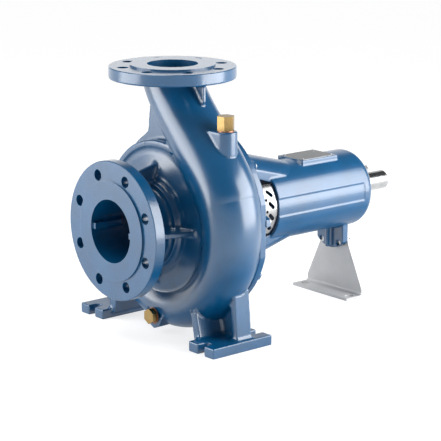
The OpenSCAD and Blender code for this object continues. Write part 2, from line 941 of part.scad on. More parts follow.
// Pan head screws of the guards, seen from inside the lantern
module guard_screws() {
    head_h = 2.6;
    head_half_d = 4.75;
    head_r = sqrt(pow(guard_r - guard_t, 2) - pow(head_half_d, 2)) - 0.02;
    color(steel)
        for (a = [0, 180])
            for (b = [-guard_screw_angle, guard_screw_angle])
                rotate([a + b, 0, 0])
                    translate([guard_screw_x, head_r, 0])
                        rotate([-90, 0, 0]) {
                            translate([0, 0, -head_h])
                                cylinder(r = head_half_d, h = head_h);
                            translate([0, 0, -1])
                                cylinder(d = 4.8, h = 6);
                        }
}

plate_l = 74;
plate_w = 54;
plate_x = pad_x + pad_l/2;
plate_t = 0.8;

// Bare aluminium nameplate
module nameplate() {
    corner = 3;
    x = plate_l/2;
    y = plate_w/2;
    color([0.62, 0.63, 0.64])
        translate([plate_x, 0, pad_z])
            linear_extrude(height = plate_t)
                polygon([[-x, -y + corner], [-x + corner, -y], [x - corner, -y], [x, -y + corner],
                    [x, y - corner], [x - corner, y], [-x + corner, y], [-x, y - corner]]);
}

// Four rivets of the nameplate
module nameplate_rivets() {
    color(steel)
        for (x = [-1, 1])
            for (y = [-1, 1])
                translate([plate_x + x*(plate_l/2 - 5), y*(plate_w/2 - 5), pad_z + plate_t])
                    cylinder(d = 4, h = 1.2);
}

upright_x = boss_x + boss_t;
bend_r = 4;

// Support foot, bent from one piece of sheet
module support_foot() {
    base_x = support_hole_x - 18;
    bend_x = upright_x - bend_r;
    base_z = foot_z;
    w = support_w/2;
    bend_z = base_z + sheet_t + bend_r;
    color([0.80, 0.80, 0.80])
        difference() {
            union() {
                translate([base_x, -w, base_z])
                    cube([bend_x - base_x, 2*w, sheet_t]);
                intersection() {
                    translate([bend_x, w, bend_z])
                        rotate([90, 0, 0])
                            difference() {
                                cylinder(r = bend_r + sheet_t, h = 2*w);
                                translate([0, 0, -1])
                                    cylinder(r = bend_r, h = 2*w + 2);
                            }
                    translate([bend_x, -w, base_z])
                        cube([bend_r + sheet_t, 2*w, bend_r + sheet_t]);
                }
                across(upright_x, upright_x + sheet_t)
                    polygon([[-w, bend_z], [w, bend_z], [w, bend_z + 7], [33, -93], [28, -72], [-28, -72],
                        [-33, -93], [-w, bend_z + 7]]);
            }
            for (side = [-1, 1]) {
                translate([support_hole_x, side*support_pitch_y/2, base_z - 1])
                    cylinder(d = 14, h = sheet_t + 2);
                translate([upright_x - 1, side*foot_screw_y, foot_screw_z])
                    rotate([0, 90, 0])
                        cylinder(d = foot_screw_d + 1, h = sheet_t + 2);
            }
        }
}

// Two hexagon screws that hold the support foot
module support_foot_screws() {
    head_h = 6.4;
    color(steel)
        for (side = [-1, 1])
            translate([upright_x + sheet_t, side*foot_screw_y, foot_screw_z]) {
                hex_x(16, head_h);
                translate([-sheet_t - boss_t + 4, 0, 0])
                    rotate([0, 90, 0])
                        cylinder(d = foot_screw_d, h = sheet_t + boss_t - 3);
            }
}

seat_d_r = impeller_seat_d/2;
thread_r = 10;
nut_h = 16;
washer_t = 3;
bearing_r = bearing_bore/2;
shoulder_r = bearing_r + 3.5;
circlip_t = 1.6;
circlip_x = drive_bearing_x + bearing_w;
key_w = 8;
key_top = seat_d_r + 3;
key_base = seat_d_r - 4;
keyway_w = 10;
keyway_base = shaft_r - 5;
keyway_l = shaft_end_l - 10;
keyway_turn = -36;

// Shaft, stepped for the impeller, seal, bearings and coupling
module shaft() {
    thread_x = hub_x - washer_t - nut_h - 2;
    bearing_end_x = drive_bearing_x + bearing_w;
    chamfer = 2;
    color(steel)
        difference() {
            turn([[0, thread_x], [thread_r - 1, thread_x], [thread_r, thread_x + 1], [thread_r, hub_x],
                [seat_d_r, hub_x], [seat_d_r, hub_end_x], [shaft_r, hub_end_x], [shaft_r, pump_bearing_x],
                [bearing_r, pump_bearing_x], [bearing_r, pump_bearing_x + bearing_w],
                [shoulder_r, pump_bearing_x + bearing_w], [shoulder_r, drive_bearing_x],
                [bearing_r, drive_bearing_x], [bearing_r, circlip_x], [bearing_r - 0.9, circlip_x],
                [bearing_r - 0.9, circlip_x + circlip_t], [bearing_r, circlip_x + circlip_t],
                [bearing_r, circlip_x + circlip_t + 1], [journal_r, circlip_x + circlip_t + 1],
                [journal_r, shaft_end_x - shaft_end_l], [shaft_r, shaft_end_x - shaft_end_l],
                [shaft_r, shaft_end_x - chamfer], [shaft_r - chamfer, shaft_end_x], [0, shaft_end_x]]);
            impeller_key_shape(key_top + 1);
            rotate([keyway_turn, 0, 0])
                keyway_shape();
        }
}

// Key of the impeller, up to the given radius
module impeller_key_shape(top) {
    translate([hub_x + 8, key_base, -key_w/2])
        cube([28, top - key_base, key_w]);
}

// Round-ended keyway for the coupling
module keyway_shape() {
    half = keyway_w/2;
    depth = shaft_r + 1 - keyway_base;
    x0 = shaft_end_x - 4 - keyway_l + half;
    x1 = shaft_end_x - 4 - half;
    for (x = [x0, x1])
        translate([x, keyway_base, 0])
            rotate([-90, 0, 0])
                cylinder(r = half, h = depth);
    translate([x0, keyway_base, -half])
        cube([x1 - x0, depth, keyway_w]);
}

module impeller_key() {
    color(steel)
        impeller_key_shape(key_top);
}

// A vane's outline in the plane across the shaft: a spiral of even thickness
vane_in_r = 42;
vane_steps = 14;
function vane_r(s) = vane_in_r*pow((impeller_r - 0.5)/vane_in_r, s);
function vane_point(s, offset) =
    let (r = vane_r(s), a = vane_wrap*s, slope = atan(ln((impeller_r - 0.5)/vane_in_r)*180/PI/vane_wrap),
        n = a + slope - 90)
    [r*cos(a) + offset*cos(n), r*sin(a) + offset*sin(n)];
module vane() {
    polygon(concat([for (i = [0:vane_steps]) vane_point(i/vane_steps, vane_t/2)],
        [for (i = [vane_steps:-1:0]) vane_point(i/vane_steps, -vane_t/2)]));
}

// Closed impeller: front shroud with the eye, back shroud with the hub, vanes between them
module impeller() {
    front_x = front_rim_x - shroud_t;
    color(bronze)
        difference() {
            union() {
                turn([[suction_bore/2, wear_ring_x + 2], [eye_r, wear_ring_x + 2], [eye_r, front_x - 10],
                    [impeller_r, front_x], [impeller_r, front_rim_x], [eye_r + 12, front_rim_x - 7],
                    [eye_r, front_rim_x - 10], [eye_r - 6, front_rim_x - 16], [suction_bore/2, front_rim_x - 22]]);
                turn([[0, hub_x], [hub_r - 1, hub_x], [hub_r + 3, hub_x + 6], [hub_r + 12, back_rim_x - 7],
                    [hub_r + 26, back_rim_x - 3], [impeller_r, back_rim_x],
                    [impeller_r, back_rim_x + shroud_t], [hub_r + 4, back_rim_x + shroud_t],
                    [hub_r, back_rim_x + shroud_t + 4], [hub_r, hub_end_x], [0, hub_end_x]]);
                intersection() {
                    turn([[vane_in_r - 8, front_rim_x - 13], [eye_r - 7, front_rim_x - 19],
                        [eye_r - 2, front_rim_x - 12], [eye_r + 11, front_rim_x - 8],
                        [impeller_r - 1, front_rim_x - 1], [impeller_r - 1, back_rim_x + 1],
                        [hub_r + 26, back_rim_x - 2], [vane_in_r - 8, back_rim_x - 6]]);
                    union()
                        for (i = [0:vane_count - 1])
                            across(front_rim_x - 22, back_rim_x + 3)
                                rotate([0, 0, i*360/vane_count])
                                    vane();
                }
            }
            disc(hub_x - 1, hub_end_x + 1, seat_d_r);
            // Keyway right through the hub
            translate([hub_x - 1, 0, -key_w/2])
                cube([hub_end_x - hub_x + 2, key_top + 0.3, key_w]);
            // Balance holes
            translate([hub_x, 0, 0])
                around(vane_count, 38, 30)
                    rotate([0, 90, 0])
                        cylinder(d = 8, h = 40);
        }
}

module impeller_washer() {
    color(steel)
        ring(hub_x - washer_t, hub_x, 20, thread_r);
}

// Nut that holds the impeller
module impeller_nut() {
    color(steel)
        translate([hub_x - washer_t - nut_h, 0, 0])
            difference() {
                hex_x(30, nut_h);
                translate([-1, 0, 0])
                    rotate([0, 90, 0])
                        cylinder(r = thread_r, h = nut_h + 2);
            }
}

spring_x = hub_end_x + 0.3;
spring_l = 24;
spring_r = 21.5;
spring_wire = 2.6;
spring_turns = 4;

// Coil spring of the mechanical seal, swept along a helix
module seal_spring() {
    sides = 6;
    steps = spring_turns*16;
    travel = spring_l - spring_wire;
    points = [for (i = [0:steps]) for (k = [0:sides - 1])
        let (a = 360*spring_turns*i/steps, r = spring_r + spring_wire/2*cos(360*k/sides))
        [spring_x + spring_wire/2 + travel*i/steps + spring_wire/2*sin(360*k/sides), r*sin(a), r*cos(a)]];
    walls = [for (i = [0:steps - 1]) for (k = [0:sides - 1])
        let (a = i*sides + k, b = i*sides + (k + 1)%sides)
        each [[a, b, b + sides], [a, b + sides, a + sides]]];
    start_cap = [[for (k = [sides - 1:-1:0]) k]];
    end_cap = [[for (k = [0:sides - 1]) steps*sides + k]];
    color(steel)
        polyhedron(points = points, faces = concat(walls, start_cap, end_cap), convexity = 10);
}

collar_end_x = hub_end_x + spring_l + 0.6;
face_ring_x = 183;

// Rubber bellows that carries the rotating face
module seal_bellows() {
    color(rubber_black)
        turn([[shaft_r, hub_end_x + 4], [shaft_r + 2.5, hub_end_x + 4], [shaft_r + 2.5, collar_end_x],
            [24, collar_end_x], [24, face_ring_x], [shaft_r, face_ring_x]]);
}

// Rotating carbon ring of the mechanical seal
module seal_face_ring() {
    color([0.15, 0.15, 0.16])
        turn([[shaft_r + 0.8, face_ring_x], [23, face_ring_x], [23, face_ring_x + 3], [21.5, face_ring_x + 3.5],
            [21.5, seal_face_x - 0.1], [shaft_r + 0.8, seal_face_x - 0.1]]);
}

// Rubber ring that throws leakage off the shaft
module shaft_slinger() {
    x = 228;
    color(rubber_black)
        turn([[shaft_r, x], [shaft_r + 6, x], [shaft_r + 7, x + 3], [shaft_r + 19, x + 6], [shaft_r + 19, x + 8],
            [shaft_r + 7, x + 7], [shaft_r + 6, x + 9], [shaft_r, x + 9]]);
}

// Retaining ring that holds the drive-side bearing on the shaft
module shaft_circlip() {
    color(steel)
        difference() {
            ring(circlip_x, circlip_x + circlip_t, bearing_r + 3, bearing_r - 0.9);
            translate([circlip_x - 1, -3, -40])
                cube([circlip_t + 2, 6, 40]);
        }
}

volute_casing();
wear_ring();
casing_cover();
casing_gasket();
bearing_bracket();
casing_studs();
casing_nuts();
vent_plug();
vent_plug_seal();
drain_plug();
drain_plug_seal();
seal_seat();
seal_seat_cup();
pump_side_outer_ring();
drive_side_outer_ring();
pump_side_bearing_cover();
drive_side_bearing_cover();
pump_side_cover_screws();
drive_side_cover_screws();
pump_side_lip_seal();
drive_side_lip_seal();
right_shaft_guard();
left_shaft_guard();
guard_screws();
nameplate();
nameplate_rivets();
support_foot();
support_foot_screws();
shaft();
impeller();
impeller_key();
impeller_washer();
impeller_nut();
seal_spring();
seal_bellows();
seal_face_ring();
shaft_slinger();
pump_side_inner_ring();
drive_side_inner_ring();
shaft_circlip();
pump_side_balls();
pump_side_cage();
drive_side_balls();
drive_side_cage();
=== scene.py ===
"""Looks of an end suction centrifugal pump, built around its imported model."""

import json
import math

import bmesh
import bpy
from mathutils import Matrix, Vector
from mathutils.bvhtree import BVHTree


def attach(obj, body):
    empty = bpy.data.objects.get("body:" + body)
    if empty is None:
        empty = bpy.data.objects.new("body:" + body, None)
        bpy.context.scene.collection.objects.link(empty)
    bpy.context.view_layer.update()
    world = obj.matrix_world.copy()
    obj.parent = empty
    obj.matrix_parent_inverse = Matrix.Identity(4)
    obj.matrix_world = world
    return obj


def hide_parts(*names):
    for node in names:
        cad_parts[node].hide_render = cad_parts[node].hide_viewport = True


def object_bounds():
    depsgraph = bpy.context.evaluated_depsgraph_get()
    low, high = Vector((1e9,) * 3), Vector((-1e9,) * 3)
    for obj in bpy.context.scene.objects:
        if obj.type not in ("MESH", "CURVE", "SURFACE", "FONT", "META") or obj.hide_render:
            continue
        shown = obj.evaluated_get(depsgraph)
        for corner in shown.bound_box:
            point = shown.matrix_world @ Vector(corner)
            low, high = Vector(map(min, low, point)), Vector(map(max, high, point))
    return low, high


MM = 0.001

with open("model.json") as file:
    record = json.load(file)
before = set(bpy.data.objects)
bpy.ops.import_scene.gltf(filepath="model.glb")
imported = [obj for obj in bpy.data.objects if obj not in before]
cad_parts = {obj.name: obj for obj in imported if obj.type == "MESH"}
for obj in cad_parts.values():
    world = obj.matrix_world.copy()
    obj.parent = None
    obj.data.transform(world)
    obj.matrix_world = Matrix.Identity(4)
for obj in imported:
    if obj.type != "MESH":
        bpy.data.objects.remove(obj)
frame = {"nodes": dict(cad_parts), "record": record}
cad_low, cad_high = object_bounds()
nodes = frame["nodes"]
slot_of = {s["node"]: s["material_slot"] for s in frame["record"]["subparts"]}

# Camera, solved from the flanges, feet and shaft of the photographed pump
CAMERA_PLACE = (-1.6754, -2.2311, 0.6900)
CAMERA_AZIMUTH = -40.404
CAMERA_ELEVATION = 13.570
CAMERA_ROLL = 0.087
CAMERA_LENS = 151.47
SENSOR_WIDTH = 36.0
CAMERA_CLIP = (0.1, 30.0)

# The pump stands on its feet, and its flanges begin at the ends of its box
FOOT_Z = cad_low[2]
SUCTION_CUT_X = cad_low[0] + 20.0 * MM
DISCHARGE_CUT_Z = cad_high[2] - 19.0 * MM

# The volute's spiral and neck as in the part's source, in millimetres and degrees
SPIRAL_X = 125.0
SPIRAL_BASE_R = 100.0
SPIRAL_START_H = 19.6
SPIRAL_GROWTH = 6.1
SPIRAL_RATIO = 1.12
TONGUE_ANGLE = -235.0
THROAT_ANGLE = 20.0
NECK_R = 48.0
NECK_END_Z = 234.0
NECK_BULGE = 12.0
NECK_LEAD = 60.0
NECK_DROP = 40.0

# How a skin is drawn onto the tube: in full up to one gap, fading out to the other, facing alike
TUBE_REACH = 3.2 * MM
TUBE_FADE = 5.0 * MM
TUBE_FACING = 0.8

# Cast skins: voxel, radius of the filled corners, rounds of smoothing
CASING_SKIN = (1.5 * MM, 3.0 * MM, 6)
BRACKET_SKIN = (1.1 * MM, 1.3 * MM, 2)
SHARP_ANGLE = 30.0
WELD_GAP = 0.002 * MM
CUT_GAP = 0.0001 * MM

# Base colours as linear light
BLUE = (0.000, 0.074, 0.190)
BLUE_WORN = (0.10, 0.26, 0.44)
STEEL = (0.46, 0.47, 0.48)
SHEET_STEEL = (0.34, 0.345, 0.35)
ZINC = (0.50, 0.51, 0.53)
FOOT_GREY = (0.448, 0.448, 0.456)
FOOT_WORN = (0.7, 0.7, 0.7)
BRASS = (0.36, 0.245, 0.10)
BRONZE = (0.50, 0.30, 0.13)
COPPER = (0.36, 0.18, 0.11)
RUBBER = (0.012, 0.012, 0.013)
FIBRE = (0.20, 0.23, 0.20)
CERAMIC = (0.72, 0.69, 0.62)
CARBON = (0.030, 0.030, 0.033)
PLATE = (0.30, 0.31, 0.32)
FLOOR = (0.80, 0.80, 0.80)
FLOOR_SHADE = (0.44, 0.44, 0.44)
FLOOR_GLOW = 0.72
WHITE = (1.0, 1.0, 1.0)

# Noise: its roughness, and its useful middle part for large clouds and for fine grain
NOISE_ROUGHNESS = 0.55
CLOUD_RANGE = (0.35, 0.65)
GRAIN_RANGE = (0.3, 0.7)

# Enamel: how often its clouds, swells and grain repeat in a metre, where edges and hollows start and end,
# and how far edges are worn and hollows darkened with painted shade
ENAMEL_CLOUD = 22.0
ENAMEL_SWELL = 75.0
ENAMEL_GRAIN = 420.0
ENAMEL_EDGE = (0.55, 0.64)
ENAMEL_HOLLOW_SHADE = (0.48, 0.41)
ENAMEL_WEAR_AND_SHADE = 0.6

# Bare metal: the same, how far its hollows are darkened with painted shade, and how much an edge is polished
METAL_CLOUD = 60.0
METAL_EDGE = (0.53, 0.60)
METAL_HOLLOW_SHADE = (0.49, 0.43)
METAL_PAINTED_SHADE = 0.6
METAL_WEAR = 0.25
METAL_LINE_DEPTH = 0.02 * MM

# The share of a rounded edge's normal that still points along the face, on the face and on the edge
EDGE_TURN = (0.985, 0.80)

# Enamel's clear top layer, which fades between two slopes of the faces that look down
COAT_ROUGHNESS = 0.24
COAT_IOR = 1.75
COAT_FADE = (-0.34, -0.10)
COAT_UNDERNEATH = 0.15
PAINT_SPECULAR = 0.2

# The world: white up to one height of the view direction, dim from another, and its soft light
WORLD_WHITE_TO = 0.10
WORLD_DIM_FROM = 0.24
WORLD_DIM = 0.10
WORLD_SOFT = 0.26

# Soft boxes: place, the point that each looks at, size in metres, power in watts
SOFT_BOXES = {
    "left_box": ((-1.15, 0.75, 0.45), (0.10, 0.0, 0.10), (1.35, 1.15), 23.0),
    "right_box": ((0.85, -0.90, 0.36), (0.25, 0.0, 0.06), (1.15, 1.02), 22.0),
    "rear_box": ((1.25, 1.40, 0.70), (0.20, 0.0, 0.10), (1.6, 0.8), 2.8),
}
OVERHEAD_POWER = 1.1
OVERHEAD_SPREAD = 35.0
OVERHEAD_TURN = (-14.0, -10.0, 0.0)
FLOOR_HALF = 20.0

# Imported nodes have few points, so their paint finds its edges another way
NODE_FINISH = {"blue_paint": "blue_paint_machined"}


def node_tree(name):
    """A new material, its node tree and its shader."""
    material = bpy.data.materials.new(name)
    material.use_nodes = True
    tree = material.node_tree
    shader = tree.nodes["Principled BSDF"]
    return material, tree, shader


def noise(tree, coords, scale, detail=4.0):
    """Noise over the object's own coordinates."""
    node = tree.nodes.new("ShaderNodeTexNoise")
    node.inputs["Scale"].default_value = scale
    node.inputs["Detail"].default_value = detail
    node.inputs["Roughness"].default_value = NOISE_ROUGHNESS
    tree.links.new(coords, node.inputs["Vector"])
    return node.outputs["Fac"]


def ramp(tree, source, low, high, low_value=0.0, high_value=1.0):
    """Maps a value from one range to another, clamped."""
    node = tree.nodes.new("ShaderNodeMapRange")
    node.inputs["From Min"].default_value = low
    node.inputs["From Max"].default_value = high
    node.inputs["To Min"].default_value = low_value
    node.inputs["To Max"].default_value = high_value
    tree.links.new(source, node.inputs["Value"])
    return node.outputs["Result"]


def mix_colour(tree, share, first, second):
    """Colour between two, by a share. Each is a colour or an output."""
    node = tree.nodes.new("ShaderNodeMix")
    node.data_type = "RGBA"
    tree.links.new(share, node.inputs["Factor"])
    for socket, value in ((node.inputs[6], first), (node.inputs[7], second)):
        if isinstance(value, tuple):
            socket.default_value = (*value, 1.0)
        else:
            tree.links.new(value, socket)
    return node.outputs[2]


def bump(tree, height, distance, strength, normal):
    """A bump of the given height in metres, on top of a normal."""
    node = tree.nodes.new("ShaderNodeBump")
    node.inputs["Strength"].default_value = strength
    node.inputs["Distance"].default_value = distance
    tree.links.new(height, node.inputs["Height"])
    tree.links.new(normal, node.inputs["Normal"])
    return node.outputs["Normal"]


def rounded_normal(tree, radius):
    """Shading normal with the solid's sharp edges softened."""
    node = tree.nodes.new("ShaderNodeBevel")
    node.samples = 6
    node.inputs["Radius"].default_value = radius
    return node.outputs["Normal"]


def edge_share(tree, radius):
    """1 on a solid's edges, 0 on its faces."""
    node = tree.nodes.new("ShaderNodeVectorMath")
    node.operation = "DOT_PRODUCT"
    tree.links.new(rounded_normal(tree, radius), node.inputs[0])
    tree.links.new(tree.nodes.new("ShaderNodeNewGeometry").outputs["Normal"], node.inputs[1])
    return ramp(tree, node.outputs["Value"], *EDGE_TURN)


def shaded(colour, tint):
    """A colour made lighter or darker."""
    return tuple(c * tint for c in colour)


def mottled(tree, cloud, colour, dark, light):
    """A colour that drifts between a darker and a lighter tone."""
    return mix_colour(tree, ramp(tree, cloud, *CLOUD_RANGE), shaded(colour, dark), shaded(colour, light))


def set_roughness(tree, shader, marks, low, high):
    """Roughness that varies with a fine noise."""
    tree.links.new(ramp(tree, marks, *GRAIN_RANGE, low, high), shader.inputs["Roughness"])


def paint(name, colour, worn, cast_height, gloss, dense=True):
    """Enamel on metal: uneven film, thin at the edges, painted shade darkening the hollows, less gloss
    underneath.

    A dense mesh gives edges and hollows by its own bends. On a sparse one only the edges are found.
    """
    material, tree, shader = node_tree(name)
    coords = tree.nodes.new("ShaderNodeTexCoord").outputs["Object"]
    cloud = noise(tree, coords, ENAMEL_CLOUD)
    grain = noise(tree, coords, ENAMEL_GRAIN, 3.0)
    swell = noise(tree, coords, ENAMEL_SWELL, 2.0)
    base = mottled(tree, cloud, colour, 0.90, 1.10)
    if dense:
        point = tree.nodes.new("ShaderNodeNewGeometry").outputs["Pointiness"]
        edge = ramp(tree, point, *ENAMEL_EDGE, 0.0, ENAMEL_WEAR_AND_SHADE)
        # Painted shade: hollows are darkened towards a dark tone of the colour, as if shade fell in them
        painted_shade = ramp(tree, point, *ENAMEL_HOLLOW_SHADE, 0.0, ENAMEL_WEAR_AND_SHADE)
        base = mix_colour(tree, edge, base, worn)
        base = mix_colour(tree, painted_shade, base, shaded(colour, 0.40))
    else:
        edge = ramp(tree, edge_share(tree, 0.8 * MM), 0.0, 1.0, 0.0, ENAMEL_WEAR_AND_SHADE)
        base = mix_colour(tree, edge, base, worn)
    tree.links.new(base, shader.inputs["Base Color"])
    set_roughness(tree, shader, grain, gloss, gloss + 0.10)
    facing = tree.nodes.new("ShaderNodeSeparateXYZ")
    tree.links.new(tree.nodes.new("ShaderNodeNewGeometry").outputs["Normal"], facing.inputs[0])
    coat = ramp(tree, facing.outputs["Z"], *COAT_FADE, COAT_UNDERNEATH, 1.0)
    tree.links.new(coat, shader.inputs["Coat Weight"])
    shader.inputs["Coat Roughness"].default_value = COAT_ROUGHNESS
    shader.inputs["Coat IOR"].default_value = COAT_IOR
    shader.inputs["Specular IOR Level"].default_value = PAINT_SPECULAR
    normal = rounded_normal(tree, 0.9 * MM)
    normal = bump(tree, swell, cast_height * 1.6, 0.6, normal)
    normal = bump(tree, grain, cast_height, 0.6, normal)
    tree.links.new(normal, shader.inputs["Normal"])
    return material


def metal(name, colour, rough, lines, axis_scale=(1.0, 1.0, 1.0), line_scale=900.0):
    """Bare metal with fine tool marks across one direction, uneven shine, painted shade in its hollows and
    lighter polished edges.
    """
    material, tree, shader = node_tree(name)
    coords = tree.nodes.new("ShaderNodeTexCoord").outputs["Object"]
    point = tree.nodes.new("ShaderNodeNewGeometry").outputs["Pointiness"]
    stretch = tree.nodes.new("ShaderNodeMapping")
    stretch.inputs["Scale"].default_value = axis_scale
    tree.links.new(coords, stretch.inputs["Vector"])
    marks = noise(tree, stretch.outputs["Vector"], line_scale, 2.0)
    cloud = noise(tree, coords, METAL_CLOUD)
    # Painted shade: hollows are darkened towards a dark tone of the metal
    painted_shade = ramp(tree, point, *METAL_HOLLOW_SHADE, 0.0, METAL_PAINTED_SHADE)
    edge = ramp(tree, point, *METAL_EDGE, 0.0, METAL_WEAR)
    base = mottled(tree, cloud, colour, 0.9, 1.06)
    base = mix_colour(tree, painted_shade, base, shaded(colour, 0.4))
    base = mix_colour(tree, edge, base, shaded(colour, 1.25))
    tree.links.new(base, shader.inputs["Base Color"])
    shader.inputs["Metallic"].default_value = 1.0
    set_roughness(tree, shader, marks, rough, rough + 0.12)
    normal = rounded_normal(tree, 0.35 * MM)
    normal = bump(tree, marks, METAL_LINE_DEPTH, lines, normal)
    tree.links.new(normal, shader.inputs["Normal"])
    return material


def dull(name, colour, rough, height):
    """Rubber, fibre, ceramic or carbon: matt, with a fine moulded or pressed grain."""
    material, tree, shader = node_tree(name)
    coords = tree.nodes.new("ShaderNodeTexCoord").outputs["Object"]
    cloud = noise(tree, coords, 90.0)
    grain = noise(tree, coords, 900.0, 3.0)
    tree.links.new(mottled(tree, cloud, colour, 0.8, 1.3), shader.inputs["Base Color"])
    set_roughness(tree, shader, grain, rough - 0.05, rough + 0.08)
    normal = bump(tree, grain, height, 0.5, rounded_normal(tree, 0.4 * MM))
    tree.links.new(normal, shader.inputs["Normal"])
    return material


def make_materials():
    """One material for each slot of the record, and one for painted faces that were machined."""
    return {
        "blue_paint": paint("blue_paint", BLUE, BLUE_WORN, 0.04 * MM, 0.30),
        "blue_paint_machined": paint("blue_paint_machined", BLUE, BLUE_WORN, 0.008 * MM, 0.26, dense=False),
        "foot_paint": paint("foot_paint", FOOT_GREY, FOOT_WORN, 0.01 * MM, 0.38),
        "polished_steel": metal("polished_steel", STEEL, 0.12, 0.3, (1.0, 0.02, 0.02), 1500.0),
        "stainless_sheet": metal("stainless_sheet", SHEET_STEEL, 0.15, 0.3, (0.03, 1.0, 1.0), 700.0),
        "zinc_steel": metal("zinc_steel", ZINC, 0.30, 0.4),
        "plug_brass": metal("plug_brass", BRASS, 0.24, 0.4),
        "bronze": metal("bronze", BRONZE, 0.34, 0.6),
        "copper": metal("copper", COPPER, 0.32, 0.3),
        "black_rubber": dull("black_rubber", RUBBER, 0.55, 0.02 * MM),
        "gasket_fibre": dull("gasket_fibre", FIBRE, 0.75, 0.04 * MM),
        "seal_ceramic": dull("seal_ceramic", CERAMIC, 0.30, 0.005 * MM),
        "seal_carbon": dull("seal_carbon", CARBON, 0.28, 0.005 * MM),
        "plate_aluminium": metal("plate_aluminium", PLATE, 0.38, 0.5, (1.0, 0.02, 1.0), 900.0),
    }


def welded_copy(node, name):
    """A copy of a node's mesh with its seams closed, as a free object."""
    mesh = nodes[node].data.copy()
    form = bmesh.new()
    form.from_mesh(mesh)
    bmesh.ops.remove_doubles(form, verts=form.verts, dist=WELD_GAP)
    bmesh.ops.recalc_face_normals(form, faces=form.faces)
    form.to_mesh(mesh)
    form.free()
    if "custom_normal" in mesh.attributes:
        mesh.attributes.remove(mesh.attributes["custom_normal"])
    piece = bpy.data.objects.new(name, mesh)
    bpy.context.scene.collection.objects.link(piece)
    return piece


def bake_modifiers(piece):
    """Turns a piece's modifiers into its mesh."""
    graph = bpy.context.evaluated_depsgraph_get()
    mesh = bpy.data.meshes.new_from_object(piece.evaluated_get(graph))
    piece.modifiers.clear()
    old = piece.data
    piece.data = mesh
    bpy.data.meshes.remove(old)


def keep_side(piece, point, direction):
    """Cuts a piece by a plane and keeps the side that direction points to."""
    form = bmesh.new()
    form.from_mesh(piece.data)
    bmesh.ops.bisect_plane(
        form,
        geom=form.verts[:] + form.edges[:] + form.faces[:],
        dist=CUT_GAP,
        plane_co=point,
        plane_no=direction,
        clear_inner=True,
    )
    form.to_mesh(piece.data)
    form.free()


def smooth_shading(piece, angle=None):
    """Smooth shading, with edges above an angle in degrees kept sharp."""
    for face in piece.data.polygons:
        face.use_smooth = True
    if angle is not None:
        piece.data.set_sharp_from_angle(angle=math.radians(angle))


def cast_skin(node, name, voxel, fillet, smoothing):
    """The node's outside as a foundry leaves it: hollow corners filled round, edges softened."""
    piece = welded_copy(node, name)
    for offset in (fillet, -fillet):
        remesh = piece.modifiers.new("skin", "REMESH")
        remesh.mode = "VOXEL"
        remesh.voxel_size = voxel
        shift = piece.modifiers.new("shift", "DISPLACE")
        shift.mid_level = 0.0
        shift.strength = offset
    soften = piece.modifiers.new("soften", "SMOOTH")
    soften.factor = 0.5
    soften.iterations = smoothing
    bake_modifiers(piece)
    smooth_shading(piece)
    return piece


def spiral_section(angle):
    """A section of the volute: centre y and z, tilt, half height and half width."""
    h = math.sqrt(SPIRAL_START_H ** 2 + SPIRAL_GROWTH * (angle - TONGUE_ANGLE))
    r = SPIRAL_BASE_R + h
    turn = math.radians(angle)
    return (-r * math.cos(turn), r * math.sin(turn), angle, h, h * SPIRAL_RATIO)


def bezier(p, t):
    """A cubic curve through two ends with two handles."""
    u = 1.0 - t
    return u ** 3 * p[0] + 3 * u * u * t * p[1] + 3 * u * t * t * p[2] + t ** 3 * p[3]


def neck_section(t):
    """A section of the neck, from the throat at 0 to the flange at 1."""
    y, z, tilt, h, w = spiral_section(THROAT_ANGLE)
    turn = math.radians(THROAT_ANGLE)
    return (
        bezier((y, y + NECK_LEAD * math.sin(turn), 0.0, 0.0), t),
        bezier((z, z + NECK_LEAD * math.cos(turn), NECK_END_Z - NECK_DROP, NECK_END_Z), t),
        tilt * (1.0 - t) ** 2,
        h + (NECK_R - h) * t + NECK_BULGE * 4.0 * t * (1.0 - t) * (1.0 - t ** 3),
        w + (NECK_R - w) * t,
    )


def volute_surface(around=96, along=240, neck=80):
    """The volute's and neck's outside as a finely divided tube, to measure against."""
    step = (THROAT_ANGLE - TONGUE_ANGLE) / along
    sections = [spiral_section(TONGUE_ANGLE + step * i) for i in range(along + 1)]
    sections += [neck_section(i / neck) for i in range(1, neck + 1)]
    points = []
    for y, z, tilt, h, w in sections:
        turn = math.radians(tilt)
        for k in range(around):
            a = 2.0 * math.pi * k / around
            out = h * math.sin(a)
            x = SPIRAL_X + w * math.cos(a)
            points.append(Vector((x, y - out * math.cos(turn), z + out * math.sin(turn))) * MM)
    faces = []
    for i in range(len(sections) - 1):
        for k in range(around):
            a, b = i * around + k, i * around + (k + 1) % around
            faces.append((a, b, b + around, a + around))
    return BVHTree.FromPolygons(points, faces)


def round_tube(piece):
    """Draws a skin that lies close to the volute's tube onto its true round surface."""
    tube = volute_surface()
    normals = [Vector(n.vector) for n in piece.data.vertex_normals]
    places = [v.co.copy() for v in piece.data.vertices]
    moves = []
    for i, place in enumerate(places):
        near, normal, face, gap = tube.find_nearest(place, TUBE_FADE)
        if near is not None:
            share = min(1.0, (TUBE_FADE - gap) / (TUBE_FADE - TUBE_REACH))
            moves.append((i, near, normal.dot(normals[i]), share))
    outward = 1.0 if sum(move[2] for move in moves) > 0.0 else -1.0
    for i, near, facing, share in moves:
        if facing * outward > TUBE_FACING:
            places[i] = places[i].lerp(near, share)
    piece.data.vertices.foreach_set("co", [c for place in places for c in place])
    piece.data.update()


def dress(piece, body, slot, *replaced, finish=None):
    """Gives a new piece its material and its body, and hides the nodes that it stands for."""
    piece.data.materials.clear()
    piece.data.materials.append(materials[finish or slot])
    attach(piece, body)
    if replaced:
        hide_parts(*replaced)


